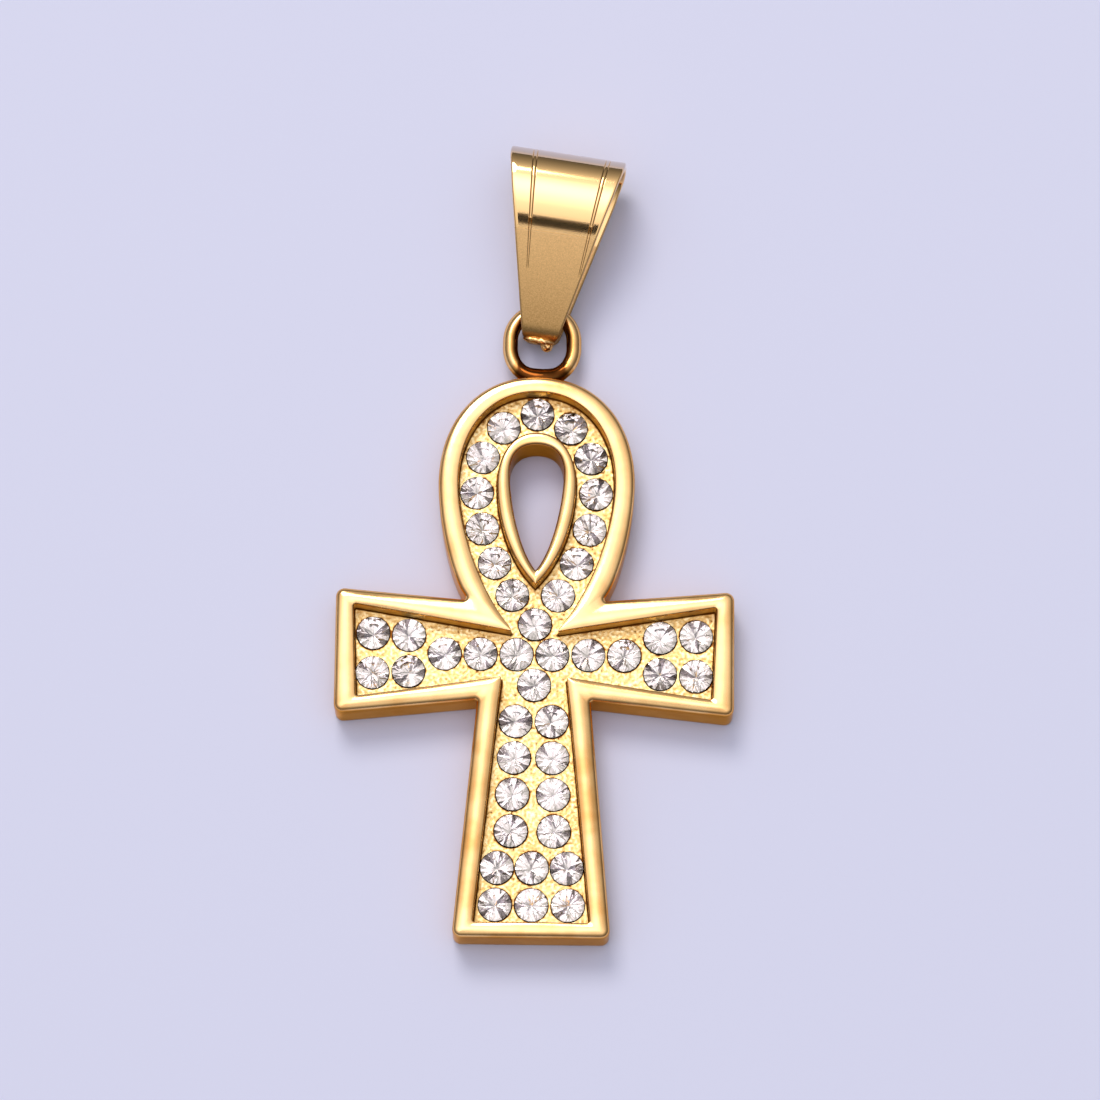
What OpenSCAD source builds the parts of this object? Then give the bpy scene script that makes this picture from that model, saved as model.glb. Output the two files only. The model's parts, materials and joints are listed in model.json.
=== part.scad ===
// Ankh pendant: a cast body with a raised polished rim, a sunk floor set with round
// cut stones, a soldered eyelet, and a folded strap bail that swings on the eyelet.
// Millimetres. The pendant lies on its back: +Z comes out of its face, +Y points to
// the bail, and the origin is on the back, below the crossing of the arms.

/* [Body] */
// Distance from arm end to arm end
ankh_span = 21.5; // [20.5:0.1:24]
// Thickness of the cast body
body_thick = 2.8; // [2.4:0.1:3.6]
// Depth of the sunk floor below the rim
recess_depth = 1.2; // [0.9:0.05:1.4]
// Distance from the crossing down to the foot of the stem
stem_length = 15.55; // [15:0.05:18]
// Width of the stem where it meets the arms
stem_root_w = 6.1; // [5.8:0.1:7]
// Width of the stem at its foot
stem_foot_w = 8.45; // [8.2:0.05:9.5]
// Height of an arm at its end
arm_end_h = 6.9; // [6.6:0.1:7.8]
// Distance from the crossing up to the corner between loop and arm
armpit_up = 2.85; // [2.7:0.05:3.1]
// Distance from the crossing down to the corner between arm and stem
armpit_down = 2.65; // [2.5:0.05:3]
// Width of the loop where it meets the arms
loop_root_w = 7.3; // [7:0.1:8]
// Radius of the outer corners of the arms and the stem
corner_r = 0.45; // [0.2:0.05:0.7]

/* [Loop] */
// Greatest width of the loop
loop_w = 10.65; // [10.2:0.05:12]
// Distance from the crossing up to the top of the loop
loop_top = 15.4; // [15:0.1:17]
// Distance from the crossing up to where the loop is widest
loop_wide_y = 9.4; // [9:0.1:9.8]
// Greatest width of the hole in the loop
hole_w = 2.95; // [2.4:0.05:3.2]
// Length of the hole in the loop
hole_length = 7.05; // [6.6:0.05:7.2]
// Width of the sunk floor over the hole
channel_w = 2.29; // [2.1:0.01:2.5]
// Width of the rim around the hole
hole_rim = 0.66; // [0.5:0.02:0.8]
// Length of metal below the pointed end of the hole
hole_rim_tip = 0.8; // [0.6:0.05:0.9]

/* [Rim] */
// Width of the rim over the top of the loop
rim_top = 0.9; // [0.7:0.05:1.1]
// Width of the rim at the sides of the loop
rim_side = 1.07; // [0.8:0.01:1.2]
// Width of the rim across the end of an arm
rim_arm_end = 1.05; // [0.8:0.05:1.2]
// Height of the rim along an arm, at its end
rim_arm = 0.9; // [0.7:0.05:1]
// Width of the rim beside the stem, at its root
rim_stem_root = 1.28; // [1:0.02:1.36]
// Width of the rim beside the stem, at its foot
rim_stem_foot = 1.1; // [0.9:0.02:1.2]
// Height of the rim across the foot of the stem
rim_foot = 0.8; // [0.6:0.05:1]
// Height of the metal between the arm's upper edge and the sunk floor, at the root
rim_neck = 1.73; // [1.5:0.01:1.8]
// Width of the sunk floor at its neck, where the loop opens into the arms
neck_w = 2.45; // [2.3:0.05:2.9]
// Height of the metal between the arm's lower edge and the sunk floor, at the root
rim_root = 1.25; // [1:0.05:1.3]
// Radius that softens the rim's outer edge
rim_soft = 0.32; // [0.15:0.01:0.35]
// Radius that softens the rim's inner edges
inner_soft = 0.18; // [0.1:0.01:0.2]

/* [Stones] */
// Diameter of a stone
stone_d = 1.8; // [1.6:0.01:1.82]
// Least gap between stones that follow each other along the arms and the stem
row_gap = 0.1; // [0.08:0.01:0.2]
// Least gap between stones that follow each other round the loop
loop_gap = 0.1; // [0.06:0.01:0.2]
// Least gap between stones side by side across a row
side_gap = 0.06; // [0.05:0.01:0.12]
// Gap between a stone and the rim at the end of a row
rim_gap = 0.1; // [0.06:0.01:0.16]
// How far stones side by side spread apart: 0 close together, 1 evenly across
spread = 0.6; // [0:0.05:0.8]
// Height of the row along the arms above the crossing
row_y = 0.05; // [-0.1:0.05:0.1]
// Radial gap between a stone and its seat
seat_gap = 0.02; // [0.01:0.005:0.022]
// Diameter of a stone's flat table
table_d = 1; // [0.8:0.05:1.1]
// Height of a stone's crown above its girdle
crown_h = 0.3; // [0.2:0.02:0.4]
// Height of a stone's girdle
girdle_h = 0.05; // [0.03:0.01:0.1]
// Depth of a stone's pavilion below its girdle
pavilion_h = 0.8; // [0.6:0.05:0.9]
// Diameter of the flat at the point of a stone
culet_d = 0.12; // [0.08:0.02:0.2]

/* [Eyelet] */
// Diameter of the eyelet's wire
eyelet_wire_d = 0.82; // [0.7:0.02:0.84]
// Outer width of the eyelet
eyelet_w = 4.3; // [4.2:0.02:4.6]
// Straight length in the sides of the eyelet
eyelet_straight = 0.4; // [0.2:0.05:0.8]
// How far the eyelet is sunk into the top of the loop
eyelet_sunk = 0.2; // [0.15:0.05:0.4]
// How far right of the middle the eyelet is soldered
eyelet_side = 0.2; // [-0.2:0.05:0.3]
// Height of the eyelet's middle above the back
eyelet_z = 1.4; // [1.2:0.05:1.6]

/* [Bail] */
// Distance from the eyelet's wire up to the top of the roll
bail_length = 8.75; // [8.4:0.05:9.6]
// Distance from the eyelet's wire up to where the straight legs end
leg_length = 4.2; // [3.8:0.1:4.6]
// Thickness of the fold where the straight legs end
leg_h = 4.5; // [4.2:0.1:5]
// Outer radius of the folded tip
tip_r = 1.2; // [1.16:0.01:1.26]
// Distance from the eyelet's wire down to the middle of the folded tip
tip_drop = 0.7; // [0.65:0.05:0.8]
// Thickness of the strap
strap_thick = 0.36; // [0.3:0.02:0.38]
// Width of the strap at its tip
tip_w = 1.85; // [1.7:0.05:1.95]
// Width of the strap where the roll begins
strap_w = 5.6; // [5:0.1:6.2]
// Width of the strap over the roll
roll_w = 6.35; // [6.2:0.05:7.2]
// Radius of the strap's corners at the tip
tip_corner_r = 0.45; // [0.2:0.05:0.6]
// Width of an engraved groove
groove_w = 0.24; // [0.16:0.02:0.3]
// Depth of an engraved groove
groove_depth = 0.08; // [0.05:0.01:0.12]
// Distance from the strap's edge to a groove's middle, on the roll
groove_in = 1.15; // [1:0.01:1.5]
// Distance from the strap's edge to a groove's lower end
groove_end_in = 0.35; // [0.3:0.01:0.5]
// How far right of the middle the pair of grooves sits
groove_shift = 0.2; // [-0.2:0.05:0.2]
// Distance from the eyelet's wire up to a groove's lower end
groove_from = 1.9; // [1.5:0.1:2.4]
// Diameter of the drop of solder at the tip
solder_d = 0.68; // [0.5:0.02:0.7]
// Lean of the bail to the right, in degrees
bail_lean = 8.5; // [0:0.5:12]
// How far round the eyelet the bail hangs, in degrees
bail_round = 4; // [3:1:7]

/* [Hidden] */
GOLD = "#d8a647";
CRYSTAL = "#e4e7ee";
CURVE_STEPS = 14;   // pieces of one half of a loop's curve
CORNER_STEPS = 4;   // pieces of a rounded corner
PAST = 0.1;         // how far a cutter runs past the face it cuts
FACETS = 8;         // main facets round a stone
ROLL_STEPS = 16;    // pieces of one half of the roll
TIP_STEPS = 6;      // pieces of one half of the folded tip
ROLL_FULLNESS = 0.58;      // handle length of the roll's curve as a share of its height
GROOVE_END = 0.06;         // width of a groove at its lower end
SOLDER_AT = [0.42, 0.3];   // the drop of solder: right of the middle, out of the fold's middle
FLOOR_CORNER_R = 0.12;     // radius of the sunk floor's corners
ARM_END_LEAN = 0.22;       // how far the floor's end in an arm leans out at its upper corner
HOLE_WIDE_SHARE = 0.23;    // where the hole is widest, as a share of its length from the top
SEAT_DEEPER = 0.06;        // depth of a seat below its stone
STAR_SHARE = 0.45;         // width of the star facets as a share of the crown
LOW_SHARE = 0.3;           // where the short pavilion facets end, as a share of the radius

floor_z = body_thick - recess_depth;
wire_r = eyelet_wire_d / 2;
eyelet_r = eyelet_w / 2 - wire_r;
eyelet_y = loop_top - eyelet_sunk + eyelet_w / 2 + eyelet_straight / 2;
seat_r = stone_d / 2 + seat_gap;
hole_top = loop_top - rim_top - channel_w - hole_rim;
hole_tip = hole_top - hole_length;

// Shape of a loop's curve: handle lengths as shares of its half width and height
// shares: top handle, side handle up, side handle down, end handle across, end handle up
LOOP_SHAPE = [0.62, 0.57, 0.29, 0.62, 0.20];
FLOOR_SHAPE = [0.62, 0.57, 0.25, 0.70, 0.33];
HOLE_RIM_SHAPE = [0.62, 0.57, 0.35, 0.68, 0.25];
HOLE_SHAPE = [0.66, 0.64, 0.25, 0.66, 0.22];
ROW_SHAPE = [0.55, 0.50, 0.22, 0.80, 0.38];

function bezier(a, b, c, d, n) = [for (i = [0:n - 1]) let (t = i / n, s = 1 - t)
    s * s * s * a + 3 * s * s * t * b + 3 * s * t * t * c + t * t * t * d];

// Right half of a loop, from its top round to its lower end
function half_loop(half_w, top, wide, end, shape) = let (rise = top - wide, fall = wide - end[1])
    concat(
        bezier([0, top], [shape[0] * half_w, top], [half_w, wide + shape[1] * rise],
            [half_w, wide], CURVE_STEPS),
        bezier([half_w, wide], [half_w, wide - shape[2] * fall],
            end + [shape[3] * (half_w - end[0]), shape[4] * fall], end, CURVE_STEPS));

// Arc that rounds the corner b of the path a-b-c
function corner(a, b, c, r) = let (
    u = (a - b) / norm(a - b),
    v = (c - b) / norm(c - b),
    half = acos(u * v) / 2,
    middle = b + (u + v) / norm(u + v) * r / sin(half),
    from = b + u * r / tan(half) - middle,
    start = atan2(from[1], from[0]),
    side = sign(u[0] * v[1] - u[1] * v[0]))
    [for (i = [0:CORNER_STEPS]) let (turn = start - side * (180 - 2 * half) * i / CORNER_STEPS)
        middle + r * [cos(turn), sin(turn)]];

function mirrored(half) = concat(half, [for (i = [len(half) - 1:-1:0])
    if (half[i][0] > 0.0001) [-half[i][0], half[i][1]]]);

// Outer outline of the body, clockwise from the top of the loop
arm_top = [ankh_span / 2, arm_end_h / 2];
arm_low = [ankh_span / 2, -arm_end_h / 2];
armpit = [loop_root_w / 2, armpit_up];
stem_root = [stem_root_w / 2, -armpit_down];
stem_foot = [stem_foot_w / 2, -stem_length];
outline = mirrored(concat(
    half_loop(loop_w / 2, loop_top, loop_wide_y, armpit, LOOP_SHAPE),
    [armpit],
    corner(armpit, arm_top, arm_low, corner_r),
    corner(arm_top, arm_low, stem_root, corner_r),
    [stem_root],
    corner(stem_root, stem_foot, [0, -stem_length], corner_r)));

// Outline of the sunk floor, inside the rim
floor_top = loop_top - rim_top;
floor_half_w = loop_w / 2 - rim_side;
neck = [neck_w / 2, armpit_up - rim_neck];
floor_arm_top = [ankh_span / 2 - rim_arm_end + ARM_END_LEAN / 2, arm_end_h / 2 - rim_arm];
floor_arm_low = [ankh_span / 2 - rim_arm_end - ARM_END_LEAN / 2, -arm_end_h / 2 + rim_arm];
floor_root = [stem_root_w / 2 - rim_stem_root, -armpit_down + rim_root];
floor_foot = [stem_foot_w / 2 - rim_stem_foot, -stem_length + rim_foot];
floor_outline = mirrored(concat(
    half_loop(floor_half_w, floor_top, loop_wide_y, neck, FLOOR_SHAPE),
    [neck],
    corner(neck, floor_arm_top, floor_arm_low, FLOOR_CORNER_R),
    corner(floor_arm_top, floor_arm_low, floor_root, FLOOR_CORNER_R),
    [floor_root],
    corner(floor_root, floor_foot, [0, floor_foot[1]], FLOOR_CORNER_R)));

// Hole in the loop and the rim around it
hole_wide_y = hole_top - HOLE_WIDE_SHARE * hole_length;
hole_outline = mirrored(concat(
    half_loop(hole_w / 2, hole_top, hole_wide_y, [0, hole_tip], HOLE_SHAPE), [[0, hole_tip]]));
hole_rim_end = [0, hole_tip - hole_rim_tip];
hole_rim_outline = mirrored(concat(
    half_loop(hole_w / 2 + hole_rim, hole_top + hole_rim, loop_wide_y, hole_rim_end,
        HOLE_RIM_SHAPE),
    [hole_rim_end]));

// Point i of a clockwise outline moved inwards by d
function inset(path, i, d) = let (
    n = len(path),
    a = path[(i + n - 1) % n],
    b = path[i],
    c = path[(i + 1) % n],
    u = (b - a) / norm(b - a),
    v = (c - b) / norm(c - b),
    nu = [u[1], -u[0]],
    nv = [v[1], -v[0]])
    b + d * (nu + nv) / (1 + nu * nv);

// Cutter that rounds the edge of an outline at height z. side is 1 where the metal is
// inside the outline and -1 where it is outside; up is 1 for an upper edge, -1 for a lower
module edge_cutter(path, z, r, side, up) {
    n = len(path);
    steep = [cos(75), sin(75)];
    flat = [cos(15), sin(15)];
    profile = [
        [-PAST, -r - PAST],
        [0, -r] - PAST * steep,
        [r * (1 - cos(30)), -r * (1 - sin(30))],
        [r * (1 - cos(60)), -r * (1 - sin(60))],
        [r, 0] + PAST * flat,
        [r + PAST, 2 * PAST],
        [-PAST, 2 * PAST]];
    m = len(profile);
    points = [for (p = profile, i = [0:n - 1]) let (q = inset(path, i, side * p[0]))
        [q[0], q[1], z + up * p[1]]];
    faces = [for (j = [0:m - 1], i = [0:n - 1])
        let (k = (i + 1) % n, l = (j + 1) % m)
        side * up > 0
            ? [l * n + i, l * n + k, j * n + k, j * n + i]
            : [j * n + i, j * n + k, l * n + k, l * n + i]];
    polyhedron(points = points, faces = faces);
}

// Places of the stones
function seg(path, i) = norm(path[(i + 1) % len(path)] - path[i]);
function path_length(path, i = 0) = i == len(path) ? 0 : seg(path, i) + path_length(path, i + 1);
function along(path, s, i = 0) = s <= seg(path, i) || i == len(path) - 1
    ? path[i] + (path[(i + 1) % len(path)] - path[i]) * s / seg(path, i)
    : along(path, s - seg(path, i), i + 1);
function mix(a, b, t) = a + (b - a) * t;

row_pitch = stone_d + row_gap;
side_pitch = stone_d + side_gap;
// Offsets of the stones side by side in a stretch of floor of this width
function across(width) = let (
    n = max(1, floor(width / side_pitch)),
    step = mix(side_pitch, width / n, spread))
    [for (i = [0:n - 1]) (i - (n - 1) / 2) * step];

arm_reach = (floor_arm_top[0] + floor_arm_low[0]) / 2;
arm_count = floor(arm_reach / row_pitch);
arm_pitch = arm_reach / arm_count;
function arm_floor_h(x) = mix(neck[1], floor_arm_top[1], (x - neck[0]) / (floor_arm_top[0] - neck[0]))
    - mix(floor_root[1], floor_arm_low[1], (x - floor_root[0]) / (floor_arm_low[0] - floor_root[0]));
arm_places = [for (side = [-1, 1], i = [0:arm_count - 1]) let (x = (i + 0.5) * arm_pitch)
    for (y = across(arm_floor_h(x))) [side * x, row_y + y]];

nested = arm_pitch * sqrt(3) / 2;   // rise from the arms' row to a stone nested above it
stem_from = row_y - nested;
stem_to = floor_foot[1] + stone_d / 2 + 2 * rim_gap;
stem_count = floor((stem_from - stem_to) / row_pitch);
function stem_floor_w(y) = 2 * mix(floor_root[0], floor_foot[0],
    (floor_root[1] - y) / (floor_root[1] - floor_foot[1]));
stem_places = [for (i = [0:stem_count]) let (y = mix(stem_from, stem_to, i / stem_count))
    for (x = across(stem_floor_w(y))) [x, y]];

row_in = stone_d / 2 + rim_gap;
loop_row = mirrored(concat(
    half_loop(floor_half_w - row_in, floor_top - row_in, loop_wide_y, [0, row_y + nested],
        ROW_SHAPE),
    [[0, row_y + nested]]));
loop_row_length = path_length(loop_row);
// An even number, so that one stone is at the top and one at the lower end
loop_count = 2 * floor(loop_row_length / (stone_d + loop_gap) / 2);
loop_places = [for (i = [0:loop_count - 1]) along(loop_row, loop_row_length * i / loop_count)];

places = concat(loop_places, arm_places, stem_places);
function stone_name(i) = str("stone_", i < 9 ? "0" : "", i + 1);

// Seat for a stone: a cone below the floor, open above it
module seat() {
    seat_depth = pavilion_h + SEAT_DEEPER;
    rotate_extrude($fn = 48)
        polygon([[0, -seat_depth], [culet_d, -seat_depth], [seat_r, 0],
            [seat_r, recess_depth + PAST], [0, recess_depth + PAST]]);
}

// Oval wire loop, lying flat, with its wire of radius r
module oval_ring(r) {
    for (end = [-1, 1])
        translate([0, end * eyelet_straight / 2, 0])
            rotate([0, 0, end > 0 ? 0 : 180])
                rotate_extrude(angle = 180, $fn = 64)
                    translate([eyelet_r, 0]) circle(r, $fn = 32);
    for (side = [-1, 1])
        translate([side * eyelet_r, eyelet_straight / 2, 0])
            rotate([90, 0, 0]) cylinder(h = eyelet_straight, r = r, $fn = 32);
}

module ankh() {
    color(GOLD) {
        difference() {
            linear_extrude(body_thick) polygon(outline);
            translate([0, 0, floor_z])
                linear_extrude(recess_depth + PAST)
                    difference() {
                        polygon(floor_outline);
                        polygon(hole_rim_outline);
                    }
            translate([0, 0, -PAST])
                linear_extrude(body_thick + 2 * PAST) polygon(hole_outline);
            edge_cutter(outline, body_thick, rim_soft, 1, 1);
            edge_cutter(outline, 0, inner_soft, 1, -1);
            edge_cutter(floor_outline, body_thick, inner_soft, -1, 1);
            edge_cutter(hole_rim_outline, body_thick, inner_soft, 1, 1);
            edge_cutter(hole_outline, body_thick, inner_soft, -1, 1);
            for (p = places) translate([p[0], p[1], floor_z]) seat();
        }
        translate([eyelet_side, eyelet_y, eyelet_z]) oval_ring(wire_r);
    }
}

// Outline of the strap's fold seen along the roll: Y up the strap is the first
// coordinate, the way out of its front face the second
tip_at = [-tip_drop, 0];
leg_end = [leg_length, leg_h / 2];
leg_slope = atan2(leg_end[1], leg_end[0] - tip_at[0]) - asin(tip_r / norm(leg_end - tip_at));
leg_dir = [cos(leg_slope), sin(leg_slope)];
roll_handle = ROLL_FULLNESS * (bail_length - leg_length);
front_fold = concat(
    [for (i = [0:TIP_STEPS]) let (turn = 180 - (90 - leg_slope) * i / TIP_STEPS)
        tip_at + tip_r * [cos(turn), sin(turn)]],
    bezier(leg_end, leg_end + roll_handle * leg_dir, [bail_length, roll_handle],
        [bail_length, 0], ROLL_STEPS),
    [[bail_length, 0]]);
fold_outline = concat(front_fold, [for (i = [len(front_fold) - 2:-1:1])
    [front_fold[i][0], -front_fold[i][1]]]);

// The fold's outline moved inwards by d
module fold(d) {
    polygon([for (i = [0:len(fold_outline) - 1]) inset(fold_outline, i, d)]);
}

// The fold's outline moved in by d1, without the one moved in by d2, as a bar along X
module fold_bar(d1, d2) {
    rotate([90, 0, 90])
        linear_extrude(roll_w + 2 * PAST, center = true)
            difference() {
                fold(d1);
                fold(d2);
            }
}

// Right edge of the strap, seen from the front, from its tip to the top of the roll
strap_low = -tip_drop - tip_r;
bend = (bail_length + leg_length) / 2;
bend_rise = bail_length - bend;
function strap_half(y) = mix(tip_w, strap_w, (y - strap_low) / (bend - strap_low)) / 2;
strap_side = concat(
    corner([0, strap_low], [tip_w / 2, strap_low], [strap_w / 2, bend], tip_corner_r),
    bezier([strap_w / 2, bend], [strap_half(bend + bend_rise / 3), bend + bend_rise / 3],
        [roll_w / 2, bail_length - bend_rise / 3], [roll_w / 2, bail_length + PAST], CURVE_STEPS),
    [[roll_w / 2, bail_length + PAST]]);

// Front view of a groove beside the right edge (side 1) or the left edge (side -1)
module groove(side) {
    top = [roll_w / 2 - groove_in, bail_length + PAST];
    low = [strap_half(groove_from) - groove_end_in, groove_from];
    translate([groove_shift, 0])
        mirror([side > 0 ? 0 : 1, 0])
            polygon([top + [groove_w / 2, 0], low + [GROOVE_END / 2, 0],
                low - [GROOVE_END / 2, 0], top - [groove_w / 2, 0]]);
}

// The bail upright in its own frame: X along the roll, Y up the strap, the eyelet's wire
// at the origin
module bail_body() {
    difference() {
        intersection() {
            fold_bar(0, strap_thick);
            linear_extrude(2 * leg_h, center = true)
                polygon(concat(strap_side, [for (i = [len(strap_side) - 1:-1:0])
                    [-strap_side[i][0], strap_side[i][1]]]));
        }
        intersection() {
            fold_bar(-PAST, groove_depth);
            linear_extrude(2 * leg_h, center = true) {
                groove(-1);
                groove(1);
            }
        }
    }
    translate([SOLDER_AT[0], strap_low, SOLDER_AT[1]]) sphere(d = solder_d, $fn = 32);
}

// Tilt at which the roll touches the surface that the body lies on
function lowest(tilt) = min([for (p = fold_outline) p[0] * sin(tilt) + p[1] * cos(tilt)]);
function rest_tilt(low, high, tries) = let (middle = (low + high) / 2)
    tries == 0 ? middle
    : eyelet_z + lowest(middle) < 0 ? rest_tilt(middle, high, tries - 1)
    : rest_tilt(low, middle, tries - 1);
bail_tilt = rest_tilt(0, 30, 24);

module bail() {
    color(GOLD)
        translate([eyelet_side, eyelet_y + eyelet_straight / 2, eyelet_z])
            rotate([0, 0, -bail_round])
                translate([0, eyelet_r, 0])
                    rotate([0, 0, bail_round - bail_lean])
                        rotate([bail_tilt, 0, 0])
                            bail_body();
}

// A round cut stone, its girdle's foot at z = 0: a flat table, star, kite and girdle
// facets on the crown, and long facets on the pavilion
module stone() {
    r = stone_d / 2;
    table_r = table_d / 2;
    culet_r = culet_d / 2;
    half = 180 / FACETS;
    star_r = mix(table_r, r, STAR_SHARE) / cos(half);
    star_z = girdle_h + crown_h * (r - star_r * cos(half)) / (r - table_r);
    low_r = r * LOW_SHARE;
    low_z = -pavilion_h * (r - low_r * cos(half)) / (r - culet_r);
    n = FACETS;
    function ring(r, z, turn, count) = [for (i = [0:count - 1])
        let (a = turn + 360 * i / count) [r * cos(a), r * sin(a), z]];
    points = concat(
        ring(table_r, girdle_h + crown_h, 0, n),
        ring(star_r, star_z, half, n),
        ring(r, girdle_h, 0, 2 * n),
        ring(r, 0, 0, 2 * n),
        ring(low_r, low_z, half, n),
        ring(culet_r, -pavilion_h, 0, n));
    star = n;
    top = 2 * n;
    foot = 4 * n;
    low = 6 * n;
    culet = 7 * n;
    each_facet = [for (i = [0:n - 1])
        let (j = (i + 1) % n, h = (i + n - 1) % n, g = 2 * i, g1 = 2 * i + 1, g2 = (2 * i + 2) % (2 * n))
        each [
            [i, j, star + i],
            [i, star + i, top + g, star + h],
            [star + i, top + g1, top + g],
            [star + i, top + g2, top + g1],
            [top + g, top + g1, foot + g1, foot + g],
            [top + g1, top + g2, foot + g2, foot + g1],
            [foot + g, foot + g1, low + i],
            [foot + g1, foot + g2, low + i],
            [foot + g, low + i, culet + i, low + h],
            [culet + i, low + i, culet + j]]];
    color(CRYSTAL)
        polyhedron(
            points = points,
            faces = concat(each_facet,
                [[for (i = [n - 1:-1:0]) i]],
                [[for (i = [0:n - 1]) culet + i]]));
}

ankh();
bail();
for (i = [0:len(places) - 1])
    translate([places[i][0], places[i][1], floor_z]) stone();
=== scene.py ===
# %% [markdown]
# # A gold-plated ankh pendant, step by step
#
# The pendant is a small casting, polished and plated, with 43 foiled crystals glued into seats in its
# sunk face. A folded strap, the bail, hangs on an eyelet and takes the necklace's chain. The solids
# that are loaded here give the overall size, the stones' places and the hinge. This lesson dresses them:
# it rebuilds the casting with soft edges and a grained floor, cuts the stones, folds the strap, and
# lights the set.

# %% Load the solids
import json
import math

import bmesh
import bpy
import numpy as np
from mathutils import Matrix, Vector, noise
from mathutils.geometry import delaunay_2d_cdt

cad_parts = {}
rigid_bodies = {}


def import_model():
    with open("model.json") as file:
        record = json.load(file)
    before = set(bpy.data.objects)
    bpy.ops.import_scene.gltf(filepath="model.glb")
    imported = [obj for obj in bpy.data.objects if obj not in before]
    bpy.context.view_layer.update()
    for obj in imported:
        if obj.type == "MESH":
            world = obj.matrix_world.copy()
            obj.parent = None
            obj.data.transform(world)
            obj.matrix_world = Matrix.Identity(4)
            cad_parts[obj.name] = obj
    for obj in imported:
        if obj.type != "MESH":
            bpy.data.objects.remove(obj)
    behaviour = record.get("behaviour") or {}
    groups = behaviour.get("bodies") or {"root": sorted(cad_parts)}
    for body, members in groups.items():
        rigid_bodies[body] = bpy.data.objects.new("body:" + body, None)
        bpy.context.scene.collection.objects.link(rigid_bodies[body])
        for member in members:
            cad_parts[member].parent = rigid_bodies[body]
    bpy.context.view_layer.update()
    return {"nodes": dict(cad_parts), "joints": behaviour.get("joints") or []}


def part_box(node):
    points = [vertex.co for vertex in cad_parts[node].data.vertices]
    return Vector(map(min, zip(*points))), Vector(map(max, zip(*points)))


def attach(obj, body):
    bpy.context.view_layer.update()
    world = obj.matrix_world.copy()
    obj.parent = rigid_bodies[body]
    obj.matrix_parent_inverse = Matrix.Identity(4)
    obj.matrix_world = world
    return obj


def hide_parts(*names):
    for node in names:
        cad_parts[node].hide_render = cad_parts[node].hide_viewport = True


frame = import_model()
MM = 0.001                    # everything below is worked out in millimetres
joint = frame["joints"][0]
body_low, body_high = (np.array(corner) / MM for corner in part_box("ankh"))
print("nodes:", len(frame["nodes"]), "body from", body_low.round(2), "to", body_high.round(2))

# %% [markdown]
# ## Curves in the plane
#
# The face is drawn with a few kinds of line: long bends, straight runs and rounded corners. A bend is a
# cubic Bezier, which needs only its ends and two handles. Each outline is made for the right half and
# mirrored, so the two sides can't differ. Points that lie on one line could be set by hand, but a rule
# keeps the outer and the inner outline in step, point by point, and the rim can then span them.

# %% Bends, straight runs and corners
BEND_STEPS = 40
CORNER_STEPS = 6
ROOM_SHARE = 0.75             # the part of the room ahead of it that a rounded edge may take
OPEN_ROOM = 9.0               # the room, in millimetres, where no wall is ahead


def bezier(a, b, c, d, count=BEND_STEPS):
    t = np.arange(count)[:, None] / count
    s = 1 - t
    a, b, c, d = (np.array(p, float) for p in (a, b, c, d))
    return s**3 * a + 3 * s * s * t * b + 3 * s * t * t * c + t**3 * d


def half_loop(half_w, top, wide, end, shape):
    rise = top - wide
    fall = wide - end[1]
    upper = bezier((0, top), (shape[0] * half_w, top), (half_w, wide + shape[1] * rise), (half_w, wide))
    low_handle = (end[0] + shape[3] * (half_w - end[0]), end[1] + shape[4] * fall)
    lower = bezier((half_w, wide), (half_w, wide - shape[2] * fall), low_handle, end)
    return np.vstack([upper, lower])


def rounded(a, b, c, radius, steps=CORNER_STEPS):
    a, b, c = (np.array(p, float) for p in (a, b, c))
    u = (a - b) / np.linalg.norm(a - b)
    v = (c - b) / np.linalg.norm(c - b)
    half = math.acos(np.clip(u @ v, -1, 1)) / 2
    middle = b + (u + v) / np.linalg.norm(u + v) * radius / math.sin(half)
    start = b + u * radius / math.tan(half) - middle
    side = np.sign(u[0] * v[1] - u[1] * v[0])
    turns = math.atan2(start[1], start[0]) - side * (math.pi - 2 * half) * np.arange(steps + 1) / steps
    return middle + radius * np.stack([np.cos(turns), np.sin(turns)], 1)


def joined(parts, steps):
    """Runs of points in a row, with this many points set on the straight run after each."""
    points = []
    for part, between, after in zip(parts, steps, parts[1:] + parts[:1]):
        points.append(part)
        if between:
            t = np.arange(1, between + 1)[:, None] / (between + 1)
            points.append(part[-1] + t * (after[0] - part[-1]))
    return np.vstack(points)


def mirrored(half):
    left = half[::-1] * (-1, 1)
    return np.vstack([half, left[np.abs(left[:, 0]) > 1e-6]])


def mitres(path):
    """The way inwards at each point of a clockwise outline, long enough to keep the walls parallel."""
    before = path - np.roll(path, 1, 0)
    after = np.roll(path, -1, 0) - path
    before = before / np.linalg.norm(before, axis=1)[:, None]
    after = after / np.linalg.norm(after, axis=1)[:, None]
    n1 = np.stack([before[:, 1], -before[:, 0]], 1)
    n2 = np.stack([after[:, 1], -after[:, 0]], 1)
    return (n1 + n2) / (1 + (n1 * n2).sum(1))[:, None]


def moved_in(path, distance):
    distance = np.broadcast_to(distance, len(path))
    return path + distance[:, None] * mitres(path)


def soft_radius(path, side, wanted):
    """How round the edge may be at each point: less where the metal runs out into a sharp wedge."""
    ways = mitres(path) * side
    ways = ways / np.linalg.norm(ways, axis=1)[:, None]
    apart = path[None] - path[:, None]
    ahead = (apart * ways[:, None]).sum(2)
    reach = np.where(ahead > 1e-5, (apart**2).sum(2) / (2 * np.maximum(ahead, 1e-5)), OPEN_ROOM).min(1)
    radius = np.minimum(wanted, ROOM_SHARE * reach)
    for _ in range(3):
        radius = np.minimum(radius, (np.roll(radius, 1) + radius + np.roll(radius, -1)) / 3)
    return radius


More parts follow.
